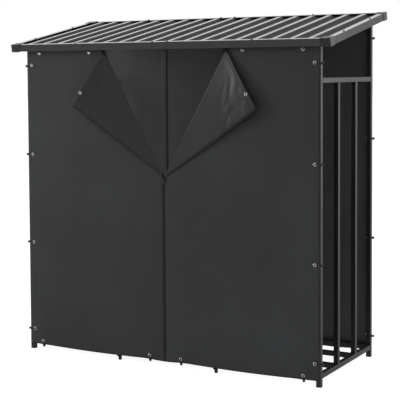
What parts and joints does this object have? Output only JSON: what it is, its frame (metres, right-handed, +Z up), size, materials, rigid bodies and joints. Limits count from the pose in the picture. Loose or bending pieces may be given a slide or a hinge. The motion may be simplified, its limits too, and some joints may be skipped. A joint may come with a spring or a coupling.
{
  "type": "firewood log rack",
  "caption": "Lean-to firewood rack: square-tube frame, ribbed sheet roof falling to the front, zipped fabric front with folded-out flaps, fabric back and open barred sides.",
  "frame": {"origin": "on the floor under the middle of the frame", "axes": "+Z up, +X to the right seen from the front, -Y towards the front with the zip"},
  "size_m": [1.8536, 0.7796, 1.8171],
  "materials": {
    "coated_tube": "satin anthracite powder coat",
    "coated_sheet": "satin anthracite coated sheet",
    "black_plastic": "fine grained moulded plastic",
    "cover_fabric": "coated woven polyester",
    "zip_black": "moulded zip teeth on woven tape",
    "zip_metal": "dark enamelled die casting",
    "cord_rubber": "braided elastic cord and moulded ball",
    "eyelet_metal": "bright plated eyelet"
  },
  "bodies": {
    "rack": {"front_post_left": "coated_tube", "front_post_right": "coated_tube", "front_post_centre": "coated_tube", "rear_post_left": "coated_tube", "rear_post_right": "coated_tube", "rear_post_centre": "coated_tube", "base_rail_front": "coated_tube", "base_rail_rear": "coated_tube", "base_rail_left": "coated_tube", "base_rail_right": "coated_tube", "floor_bar_front": "coated_tube", "floor_bar_rear": "coated_tube", "floor_bearer_left": "coated_tube", "floor_bearer_right": "coated_tube", "side_rail_left": "coated_tube", "side_rail_right": "coated_tube", "side_bar_left_front": "coated_tube", "side_bar_left_rear": "coated_tube", "side_bar_right_front": "coated_tube", "side_bar_right_rear": "coated_tube", "rafter_left": "coated_tube", "rafter_centre": "coated_tube", "rafter_right": "coated_tube", "top_beam_front_left": "coated_tube", "top_beam_front_right": "coated_tube", "top_beam_rear_left": "coated_tube", "top_beam_rear_right": "coated_tube", "roof_sheet_left": "coated_sheet", "roof_sheet_right": "coated_sheet", "front_trim_left": "coated_sheet", "front_trim_right": "coated_sheet", "rear_trim_left": "coated_sheet", "rear_trim_right": "coated_sheet", "side_trim_left": "coated_sheet", "side_trim_right": "coated_sheet", "foot_front_left": "black_plastic", "foot_front_right": "black_plastic", "foot_rear_left": "black_plastic", "foot_rear_right": "black_plastic", "corner_cap_front_left": "black_plastic", "corner_cap_front_right": "black_plastic", "corner_cap_rear_left": "black_plastic", "corner_cap_rear_right": "black_plastic", "front_cover_left": "cover_fabric", "front_cover_right": "cover_fabric", "rear_cover": "cover_fabric", "zip_chain": "zip_black", "ball_bungee_left_1": "cord_rubber", "ball_bungee_left_2": "cord_rubber", "ball_bungee_left_3": "cord_rubber", "ball_bungee_left_4": "cord_rubber", "ball_bungee_right_1": "cord_rubber", "ball_bungee_right_2": "cord_rubber", "ball_bungee_right_3": "cord_rubber", "ball_bungee_right_4": "cord_rubber"},
    "left_flap": {"flap_left": "cover_fabric"},
    "right_flap": {"flap_right": "cover_fabric"},
    "zip_slider": {"zip_slider": "zip_metal"},
    "zip_pull": {"zip_pull": "zip_metal"}
  },
  "joints": [
    {"name": "left_flap_fold", "type": "hinge", "parent": "rack", "child": "left_flap", "pos_m": [-0.36, -0.35245, 1.625], "axis": [-0.4819, 0, 0.8762], "range_deg": [0, 172]},
    {"name": "right_flap_fold", "type": "hinge", "parent": "rack", "child": "right_flap", "pos_m": [0.36, -0.35245, 1.625], "axis": [-0.4819, 0, -0.8762], "range_deg": [0, 172]},
    {"name": "zip_travel", "type": "slide", "parent": "rack", "child": "zip_slider", "axis": [0, 0, 1], "range_m": [-0.9, 0]},
    {"name": "zip_pull_swing", "type": "hinge", "parent": "zip_slider", "child": "zip_pull", "pos_m": [0, -0.3588, 0.9745], "axis": [-1, 0, 0], "range_deg": [0, 150]}
  ]
}
